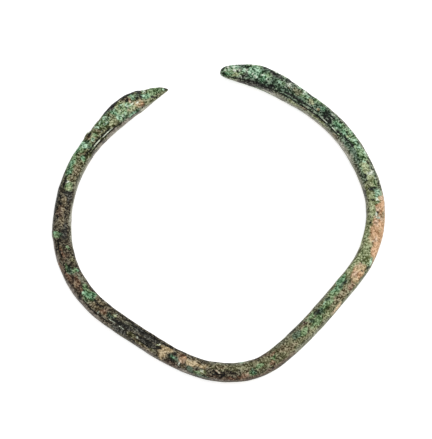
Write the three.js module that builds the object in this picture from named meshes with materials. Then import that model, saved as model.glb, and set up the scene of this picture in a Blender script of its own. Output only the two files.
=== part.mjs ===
// A bronze bracelet: one cast bar bent into an open hoop, with a flattened head at each end.
// Millimetres, +Z up. It lies flat, its open side faces +Y, and the origin is under the
// middle of the hoop, on the surface that it lies on.
import * as THREE from "three";

// The bar before it was bent.
const BAR_LENGTH = 196.2;
const BAR_WIDTH = 3.92;
const BAR_HEIGHT = 3.9;
const BAR_SQUARENESS = 2.5;
const INNER_EDGE_SQUARENESS = 2.8;
const ARRIS_SQUARENESS = 4.2;
const UNDERSIDE_WEAR = 0.14;

// The left head: a pointed snout with a nick behind it on the outer edge.
const LEFT_HEAD_LENGTH = 20;
const LEFT_HEAD_WIDTH = 5.4;
const LEFT_HEAD_HEIGHT = 3.3;
const LEFT_TIP_HEIGHT = 1.1;
const LEFT_NECK_WIDTH = 3.65;
const LEFT_NECK_LENGTH = 22;

// The right head: a longer blade with a blunt round end.
const RIGHT_HEAD_LENGTH = 21;
const RIGHT_HEAD_WIDTH = 5.15;
const RIGHT_HEAD_HEIGHT = 3.3;
const RIGHT_TIP_HEIGHT = 1.3;

// At its very end each tip keeps this share of the height that it has just behind it.
const TIP_ROUNDING = 0.3;

// Lumps that stand out of the outline, placed by their distance from the left tip, and
// how far above the middle of the outer face they sit, as a share of half its height.
const KNOB_PLACE = 20.6;
const KNOB_HEIGHT = 0.32;
const KNOB_REACH = 0.7;
const CRUST_PLACE = 43.2;
const CRUST_HEIGHT = 0.3;
const CRUST_REACH = 1.1;
const LUMP_LEVEL = 0.3;

// The hammered, corroded skin is a little uneven: waves of unlike lengths along the bar,
// each with its own number of turns round it.
const UNEVEN_DEPTH = 0.045;
const SHORT_WAVE = 2.7;
const MIDDLE_WAVE = 7;
const LONG_WAVE = 17;
const UNEVEN_WAVES = [
  { length: MIDDLE_WAVE, turns: 2 },
  { length: SHORT_WAVE, turns: -1 },
  { length: LONG_WAVE, turns: 3 },
];

// How finely the bar is cut into faces.
const SIDES = 24;
const BAR_STEP = 1.6;
const HEAD_STEP = 0.75;
const TIP_STEP = 0.18;
const ROUTE_STEP = 0.1;

// The bends of the hoop, from the left tip round to the right one. Each turns the bar
// by so many degrees over a share of its length.
const START_HEADING = -164.5;
const BENDS = [
  { name: "left head", share: 0.06, turn: 25.5 },
  { name: "left neck", share: 0.06, turn: 17.5 },
  { name: "left shoulder", share: 0.06, turn: 20.5 },
  { name: "left side", share: 0.06, turn: 22.5 },
  { name: "left corner", share: 0.05, turn: 24 },
  { name: "below the left corner", share: 0.05, turn: 19 },
  { name: "straight left flank", share: 0.05, turn: 2.5 },
  { name: "into the bottom bend", share: 0.05, turn: 12 },
  { name: "bottom bend", share: 0.05, turn: 27 },
  { name: "out of the bottom bend", share: 0.05, turn: 33.5 },
  { name: "lower right flank", share: 0.05, turn: 8.5 },
  { name: "straight right flank", share: 0.06, turn: 3.5 },
  { name: "below the right corner", share: 0.06, turn: 23.5 },
  { name: "right corner", share: 0.06, turn: 30 },
  { name: "right side", share: 0.06, turn: 19.5 },
  { name: "right shoulder", share: 0.05, turn: 16.5 },
  { name: "right neck", share: 0.06, turn: 11 },
  { name: "right head", share: 0.06, turn: 37.5 },
];

// A smooth curve through stops of [place, value] that never overshoots them, and holds its
// end values beyond them.
function curveThrough(stops) {
  const span = stops.slice(1).map(([x], i) => x - stops[i][0]);
  const rise = span.map((width, i) => (stops[i + 1][1] - stops[i][1]) / width);
  const slope = stops.map((stop, i) => {
    if (i === 0) return rise[0];
    if (i === rise.length) return rise[i - 1];
    if (rise[i - 1] * rise[i] <= 0) return 0;
    const before = span[i - 1] + 2 * span[i];
    const after = 2 * span[i - 1] + span[i];
    return (before + after) / (before / rise[i - 1] + after / rise[i]);
  });
  return (x) => {
    if (x <= stops[0][0]) return stops[0][1];
    if (x >= stops.at(-1)[0]) return stops.at(-1)[1];
    const i = stops.findLastIndex((stop) => stop[0] <= x);
    const t = (x - stops[i][0]) / span[i];
    const u = 1 - t;
    const ends = u * u * (1 + 2 * t) * stops[i][1] + t * t * (1 + 2 * u) * stops[i + 1][1];
    return ends + t * u * span[i] * (u * slope[i] - t * slope[i + 1]);
  };
}

// The heading of the bar at each place along it, in degrees.
function headingAlongBar() {
  let place = 0;
  let heading = START_HEADING;
  const stops = [[place, heading]];
  for (const bend of BENDS) {
    place += bend.share * BAR_LENGTH;
    heading += bend.turn;
    stops.push([place, heading]);
  }
  return curveThrough(stops);
}

// The centre line: points a small step apart, each with the direction of travel there.
function centreLine() {
  const heading = headingAlongBar();
  const count = Math.ceil(BAR_LENGTH / ROUTE_STEP);
  const step = BAR_LENGTH / count;
  const points = [new THREE.Vector2(0, 0)];
  for (let i = 0; i < count; i += 1) {
    const middle = THREE.MathUtils.degToRad(heading((i + 0.5) * step));
    const stride = new THREE.Vector2(Math.cos(middle), Math.sin(middle)).multiplyScalar(step);
    points.push(points[i].clone().add(stride));
  }
  return (place) => {
    const i = Math.min(Math.floor(place / step), count - 1);
    const point = points[i].clone().lerp(points[i + 1], place / step - i);
    const angle = THREE.MathUtils.degToRad(heading(place));
    return { point, outward: new THREE.Vector2(Math.sin(angle), -Math.cos(angle)) };
  };
}

// Half widths of the heads, as shares of half the head's width, at shares of its length
// from the tip. Each ends in the bar behind it.
const leftNeckShare = LEFT_NECK_WIDTH / LEFT_HEAD_WIDTH;
const leftOuterEdge = curveThrough([
  [0, 0.05],
  [0.08, 0.34],
  [0.16, 0.47],
  [0.24, 0.5],
  [0.33, 0.8],
  [0.48, 1.01],
  [0.62, 1],
  [0.8, 0.82],
  [1, leftNeckShare],
]);
const leftInnerEdge = curveThrough([
  [0, 0.06],
  [0.08, 0.27],
  [0.24, 0.63],
  [0.4, 0.85],
  [0.62, 0.88],
  [0.8, 0.8],
  [1, leftNeckShare],
]);
const rightNeckShare = BAR_WIDTH / RIGHT_HEAD_WIDTH;
const rightOuterEdge = curveThrough([
  [0, 0.2],
  [0.03, 0.45],
  [0.08, 0.58],
  [0.15, 0.66],
  [0.3, 0.88],
  [0.45, 1],
  [0.65, 0.96],
  [0.82, 0.83],
  [1, rightNeckShare],
]);
const rightInnerEdge = curveThrough([
  [0, 0.12],
  [0.03, 0.3],
  [0.08, 0.5],
  [0.2, 0.81],
  [0.35, 0.94],
  [0.7, 0.9],
  [1, rightNeckShare],
]);

// The height of the bar, which thins out along each head to its tip.
const heightAlongBar = curveThrough([
  [0, LEFT_TIP_HEIGHT * TIP_ROUNDING],
  [LEFT_HEAD_LENGTH * 0.04, LEFT_TIP_HEIGHT],
  [LEFT_HEAD_LENGTH * 0.5, LEFT_HEAD_HEIGHT],
  [LEFT_HEAD_LENGTH, BAR_HEIGHT],
  [BAR_LENGTH - RIGHT_HEAD_LENGTH, BAR_HEIGHT],
  [BAR_LENGTH - RIGHT_HEAD_LENGTH * 0.5, RIGHT_HEAD_HEIGHT],
  [BAR_LENGTH - RIGHT_HEAD_LENGTH * 0.04, RIGHT_TIP_HEIGHT],
  [BAR_LENGTH, RIGHT_TIP_HEIGHT * TIP_ROUNDING],
]);

// Half the bar's width between the heads, which is narrowest behind the left one.
const halfBarWidth = curveThrough([
  [LEFT_HEAD_LENGTH, LEFT_NECK_WIDTH / 2],
  [LEFT_HEAD_LENGTH + LEFT_NECK_LENGTH / 2, LEFT_NECK_WIDTH / 2],
  [LEFT_HEAD_LENGTH + LEFT_NECK_LENGTH, BAR_WIDTH / 2],
]);

// The two half widths of the bar at a place along it, outside and inside its centre line.
function halfWidths(place) {
  if (place < LEFT_HEAD_LENGTH) {
    const share = place / LEFT_HEAD_LENGTH;
    const half = LEFT_HEAD_WIDTH / 2;
    return { outer: half * leftOuterEdge(share), inner: half * leftInnerEdge(share) };
  }
  if (place > BAR_LENGTH - RIGHT_HEAD_LENGTH) {
    const share = (BAR_LENGTH - place) / RIGHT_HEAD_LENGTH;
    const half = RIGHT_HEAD_WIDTH / 2;
    return { outer: half * rightOuterEdge(share), inner: half * rightInnerEdge(share) };
  }
  return { outer: halfBarWidth(place), inner: halfBarWidth(place) };
}

// The inner upper edge is a sharp arris behind each head and soft elsewhere.
const arrisSquareness = curveThrough([
  [0, BAR_SQUARENESS],
  [LEFT_HEAD_LENGTH * 0.5, ARRIS_SQUARENESS],
  [LEFT_HEAD_LENGTH * 1.1, ARRIS_SQUARENESS],
  [LEFT_HEAD_LENGTH * 1.7, INNER_EDGE_SQUARENESS],
  [BAR_LENGTH - RIGHT_HEAD_LENGTH * 2.2, INNER_EDGE_SQUARENESS],
  [BAR_LENGTH - RIGHT_HEAD_LENGTH * 1.6, ARRIS_SQUARENESS],
  [BAR_LENGTH - RIGHT_HEAD_LENGTH * 0.6, ARRIS_SQUARENESS],
  [BAR_LENGTH, BAR_SQUARENESS],
]);

// How far the uneven skin stands out at a place along the bar and an angle round it.
function unevenness(place, angle) {
  const waves = UNEVEN_WAVES.map(({ length, turns }) => {
    return Math.sin((2 * Math.PI * place) / length + turns * (angle + 1));
  });
  return (UNEVEN_DEPTH / 2) * waves.reduce((sum, wave) => sum + wave, 0);
}

// A round lump on the outer face, full at its own place along the bar.
function lump(place, angle, centre, height, reach) {
  if (Math.cos(angle) <= 0) return 0;
  const along = (place - centre) / reach;
  const round = ((Math.sin(angle) - LUMP_LEVEL) * BAR_HEIGHT) / 2 / reach;
  return height * Math.exp(-along * along - round * round);
}

// The section of the bar at a place: points round it, from its outer side over its top.
function section(place) {
  const { outer, inner } = halfWidths(place);
  const half = (heightAlongBar(place) + UNDERSIDE_WEAR) / 2;
  const middle = BAR_HEIGHT / 2 - UNDERSIDE_WEAR / 2;
  const points = [];
  for (let i = 0; i < SIDES; i += 1) {
    const angle = (2 * Math.PI * i) / SIDES;
    const across = Math.cos(angle);
    const up = Math.sin(angle);
    const onArris = across < 0 && up > 0;
    const power = 2 / (onArris ? arrisSquareness(place) : BAR_SQUARENESS);
    const width = across > 0 ? outer : inner;
    const point = new THREE.Vector2(
      width * Math.sign(across) * Math.abs(across) ** power,
      half * Math.sign(up) * Math.abs(up) ** power,
    );
    const fade = Math.min(1, 1 + up) * Math.min(1, half);
    const proud =
      unevenness(place, angle) * fade +
      lump(place, angle, KNOB_PLACE, KNOB_HEIGHT, KNOB_REACH) +
      lump(place, angle, CRUST_PLACE, CRUST_HEIGHT, CRUST_REACH);
    point.addScaledVector(new THREE.Vector2(across, up), proud);
    points.push(new THREE.Vector2(point.x, Math.max(0, point.y + middle)));
  }
  return points;
}

// Places of the sections: close together at the tips, then on the heads, wider on the bar.
function sectionPlaces() {
  const leftEnd = LEFT_HEAD_LENGTH * 1.2;
  const rightEnd = RIGHT_HEAD_LENGTH * 1.1;
  const head = (length) => {
    const count = Math.round((length - 2 * TIP_STEP) / HEAD_STEP);
    const spacing = (length - 2 * TIP_STEP) / count;
    return [TIP_STEP, ...Array.from({ length: count }, (_, i) => 2 * TIP_STEP + i * spacing)];
  };
  const span = BAR_LENGTH - leftEnd - rightEnd;
  const count = Math.round(span / BAR_STEP);
  const bar = Array.from({ length: count + 1 }, (_, i) => leftEnd + (i * span) / count);
  const rightHead = head(rightEnd).map((place) => BAR_LENGTH - place);
  return [...head(leftEnd), ...bar, ...rightHead.reverse()];
}

// The bar as one closed skin: a ring of points at each place and a point at each tip.
function bentBar() {
  const route = centreLine();
  const places = sectionPlaces();
  const points = [];
  for (const place of places) {
    const { point, outward } = route(place);
    for (const { x, y } of section(place)) {
      points.push(point.x + outward.x * x, point.y + outward.y * x, y);
    }
  }
  const tipLevel = (BAR_HEIGHT - UNDERSIDE_WEAR) / 2;
  for (const place of [0, BAR_LENGTH]) {
    const { point } = route(place);
    points.push(point.x, point.y, tipLevel);
  }
  const faces = [];
  const at = (ring, side) => ring * SIDES + (side % SIDES);
  const leftTipPoint = places.length * SIDES;
  const lastRing = places.length - 1;
  for (let side = 0; side < SIDES; side += 1) {
    faces.push(leftTipPoint, at(0, side), at(0, side + 1));
    faces.push(leftTipPoint + 1, at(lastRing, side + 1), at(lastRing, side));
    for (let ring = 0; ring < lastRing; ring += 1) {
      faces.push(at(ring, side), at(ring + 1, side), at(ring, side + 1));
      faces.push(at(ring, side + 1), at(ring + 1, side), at(ring + 1, side + 1));
    }
  }
  const geometry = new THREE.BufferGeometry();
  geometry.setAttribute("position", new THREE.Float32BufferAttribute(points, 3));
  geometry.setIndex(faces);
  geometry.computeVertexNormals();
  return geometry;
}

// The finished hoop, moved so that the origin is under its middle.
function bracelet() {
  const geometry = bentBar();
  geometry.computeBoundingBox();
  const middle = geometry.boundingBox.getCenter(new THREE.Vector3());
  geometry.translate(-middle.x, -middle.y, 0);
  const patina = new THREE.MeshStandardMaterial({ color: 0x55583f, roughness: 0.8, metalness: 0.2 });
  const mesh = new THREE.Mesh(geometry, patina);
  mesh.name = "bracelet";
  return mesh;
}

const part = new THREE.Group();
part.name = "bronze_bracelet";
part.add(bracelet());

export default part;
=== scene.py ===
import math
import random
from collections import namedtuple

import bmesh
import bpy
import numpy as np
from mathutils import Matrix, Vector, noise


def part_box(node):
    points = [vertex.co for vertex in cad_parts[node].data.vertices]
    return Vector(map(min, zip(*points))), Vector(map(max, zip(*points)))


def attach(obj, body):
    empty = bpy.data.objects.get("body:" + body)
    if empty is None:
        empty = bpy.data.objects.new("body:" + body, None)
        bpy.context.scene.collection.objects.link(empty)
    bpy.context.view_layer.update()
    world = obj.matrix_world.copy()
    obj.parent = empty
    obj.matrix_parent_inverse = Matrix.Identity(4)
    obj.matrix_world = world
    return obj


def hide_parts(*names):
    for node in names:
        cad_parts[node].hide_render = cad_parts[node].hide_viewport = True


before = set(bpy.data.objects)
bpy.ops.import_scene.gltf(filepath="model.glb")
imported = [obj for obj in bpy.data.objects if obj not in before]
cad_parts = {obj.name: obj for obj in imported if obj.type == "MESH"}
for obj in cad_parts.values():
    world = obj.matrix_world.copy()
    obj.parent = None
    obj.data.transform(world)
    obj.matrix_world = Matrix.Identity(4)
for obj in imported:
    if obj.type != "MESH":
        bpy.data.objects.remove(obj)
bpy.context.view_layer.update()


# The bracelet
# One bar of bronze, cast and hammered square, bent cold to an open ring, with both ends drawn
# out and flattened to long narrow heads. It was buried: the skin is a granular crust of copper
# salts and earth in many colours, pitted, and worn smooth only on its walls and a few arrises.

MM = 0.001
PIECE = "bracelet"

# The skin's mesh: how many points go round the bar, the step between rows of them in mm, the
# closer rows at each tip, how near two CAD points count as one in metres, and how many points
# past a ring's start its smooth curve takes in.
AROUND = 96
ROW_STEP = 0.205
TIP_ROWS = (0.015, 0.04, 0.08, 0.13)
SAME_POINT = 2e-6
WRAP = 3


def rings_of(cad_object):
    """The CAD bar's rings in mm from the left tip to the right one, each starting outside."""
    skin = bmesh.new()
    skin.from_mesh(cad_object.data)
    bmesh.ops.remove_doubles(skin, verts=skin.verts, dist=SAME_POINT)
    tips = sorted(skin.verts, key=lambda point: len(point.link_edges))[-2:]
    left_tip, right_tip = sorted(tips, key=lambda point: point.co.x)
    sides = len(left_tip.link_edges)
    seen = {left_tip}
    ring = [left_tip]
    rings = []
    while True:
        ring = list({edge.other_vert(point) for point in ring for edge in point.link_edges} - seen)
        seen.update(ring)
        if right_tip in ring:
            break
        assert len(ring) == sides, "the CAD bar isn't made of like rings"
        rings.append(np.array([point.co / MM for point in ring]))
    left_end = np.array(left_tip.co / MM)
    right_end = np.array(right_tip.co / MM)
    skin.free()
    return in_order(rings, left_end, right_end), left_end, right_end


def in_order(rings, left_end, right_end):
    """Each ring's points in turn from outside over the top, matched from ring to ring."""
    centres = [left_end] + [ring.mean(axis=0) for ring in rings] + [right_end]
    ordered = []
    for number, ring in enumerate(rings):
        ahead = centres[number + 2] - centres[number]
        outward = np.array([ahead[1], -ahead[0], 0.0])
        outward /= np.linalg.norm(outward)
        from_centre = ring - centres[number + 1]
        angle = np.arctan2(from_centre[:, 2], from_centre @ outward)
        ring = ring[np.argsort(angle % math.tau)]
        before = ordered[-1] if ordered else None
        if before is None:
            start = int(np.argmax((ring - centres[1]) @ outward))
        else:
            turns = range(len(ring))
            misfits = [np.linalg.norm(np.roll(ring, -turn, axis=0) - before) for turn in turns]
            start = int(np.argmin(misfits))
        ordered.append(np.roll(ring, -start, axis=0))
    return np.array(ordered)


def smooth_rows(places, rows, wanted):
    """Rows at the wanted places on smooth curves through the given rows."""
    wide = (-1,) + (1,) * (rows.ndim - 1)
    gap = np.diff(places).reshape(wide)
    slope = np.diff(rows, axis=0) / gap
    lean = np.empty_like(rows)
    lean[1:-1] = (slope[:-1] * gap[1:] + slope[1:] * gap[:-1]) / (gap[1:] + gap[:-1])
    lean[0] = slope[0]
    lean[-1] = slope[-1]
    low = np.clip(np.searchsorted(places, wanted, side="right") - 1, 0, len(places) - 2)
    share = ((wanted - places[low]) / np.diff(places)[low]).reshape(wide)
    rest = 1 - share
    before = rest * rest * (1 + 2 * share) * rows[low]
    after = share * share * (1 + 2 * rest) * rows[low + 1]
    return before + after + share * rest * gap[low] * (rest * lean[low] - share * lean[low + 1])


rings, left_end, right_end = rings_of(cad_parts[PIECE])
sides = rings.shape[1]
ring_centres = np.vstack([left_end, rings.mean(axis=1), right_end])
ring_steps = np.linalg.norm(np.diff(ring_centres[:, :2], axis=0), axis=1)
ring_places = np.concatenate([[0.0], np.cumsum(ring_steps)])
bar_length = ring_places[-1]

tip_rows = np.array(TIP_ROWS)
first_inner = TIP_ROWS[-1] + ROW_STEP / 2
inner_rows = np.arange(first_inner, bar_length - TIP_ROWS[-1] - ROW_STEP / 2, ROW_STEP)
row_places = np.concatenate([tip_rows, inner_rows, bar_length - tip_rows[::-1]])

all_rings = np.concatenate(
    [np.tile(left_end, (1, sides, 1)), rings, np.tile(right_end, (1, sides, 1))]
)
along = smooth_rows(ring_places, all_rings, row_places)
side_numbers = np.arange(-WRAP, sides + WRAP + 1)
wrapped = np.take(along, side_numbers % sides, axis=1).transpose(1, 0, 2)
fine_sides = np.arange(AROUND) * sides / AROUND
surface = smooth_rows(side_numbers.astype(float), wrapped, fine_sides).transpose(1, 0, 2)
surface[..., 2] = np.maximum(surface[..., 2], 0.0)

# Where a point lies on the skin: its place along the bar from the left tip, and how far round
# from the crest it is, positive towards the outside of the hoop. Both are in mm.
CREST = AROUND // 4
place = np.repeat(row_places, AROUND).reshape(-1, AROUND)
steps_round = np.linalg.norm(np.roll(surface, -1, axis=1) - surface, axis=2)
travelled = np.cumsum(steps_round, axis=1) - steps_round
girth = steps_round.sum(axis=1, keepdims=True)
off_crest = travelled[:, CREST:CREST + 1] - travelled
off_crest = np.where(off_crest < -girth / 2, off_crest + girth, off_crest)

lengthways = np.gradient(surface, axis=0)
crossways = np.roll(surface, -1, axis=1) - np.roll(surface, 1, axis=1)
normals = np.cross(lengthways, crossways)
normals /= np.linalg.norm(normals, axis=2, keepdims=True)
middle = smooth_rows(ring_places, ring_centres, row_places)[:, None, :]
if ((surface - middle) * normals).sum() < 0:
    normals = -normals

# The patina's kinds: the colour in sRGB, how much darker its hollows and lighter its high grains
# are, how glossy it is, how strongly it is grained, and how fully it covers what it lies on. The
# first is the ground, and each later one lies over those before.
Kind = namedtuple("Kind", "colour darker lighter gloss grain covering")
KINDS = {
    "brown": Kind((72, 65, 46), 60, 64, 0.25, 1.0, 1.0),
    "moss": Kind((112, 116, 80), 70, 64, 0.20, 1.0, 1.0),
    "sea_green": Kind((92, 112, 88), 76, 72, 0.25, 1.0, 1.0),
    "mauve_grey": Kind((124, 114, 103), 56, 54, 0.50, 0.75, 0.85),
    "olive_grey": Kind((128, 128, 107), 56, 54, 0.50, 0.75, 0.85),
    # pale_grey is the walls' grey made paler as a painted reflection of the white table.
    "pale_grey": Kind((174, 170, 155), 66, 46, 0.40, 0.8, 0.75),
    # slate is dark patina, and also painted shade once on the left head's outer rim.
    "slate": Kind((48, 48, 41), 34, 66, 0.60, 0.9, 0.85),
    "russet": Kind((84, 66, 48), 54, 60, 0.25, 1.0, 0.85),
    "olive": Kind((112, 110, 77), 66, 62, 0.20, 1.0, 0.8),
    "tan": Kind((120, 107, 79), 66, 68, 0.15, 1.0, 0.75),
    "rust": Kind((136, 104, 80), 60, 54, 0.15, 1.0, 0.6),
    "green": Kind((102, 133, 87), 70, 68, 0.20, 1.0, 0.8),
    "bottle": Kind((44, 68, 48), 40, 66, 0.40, 1.0, 0.8),
    "yellow_green": Kind((158, 165, 122), 76, 56, 0.15, 0.9, 0.82),
    "terracotta": Kind((207, 166, 128), 60, 34, 0.10, 0.9, 0.95),
    "rose": Kind((208, 180, 152), 60, 36, 0.10, 0.9, 0.85),
    "buff": Kind((200, 178, 138), 70, 42, 0.10, 0.9, 0.75),
    "malachite": Kind((84, 132, 94), 66, 72, 0.20, 1.0, 0.75),
    # mint is pale green crust, and also two painted highlights on the left neck's inner wall.
    "mint": Kind((154, 191, 160), 74, 60, 0.15, 1.0, 0.8),
    # cream is pale crust, and also painted highlights: the neck ridge and a few lines and dots.
    "cream": Kind((216, 226, 206), 60, 30, 0.20, 0.9, 0.95),
    # black is black dirt, and also painted shade on the left head's outer rim.
    "black": Kind((19, 20, 16), 16, 42, 0.50, 0.8, 0.95),
}
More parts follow.
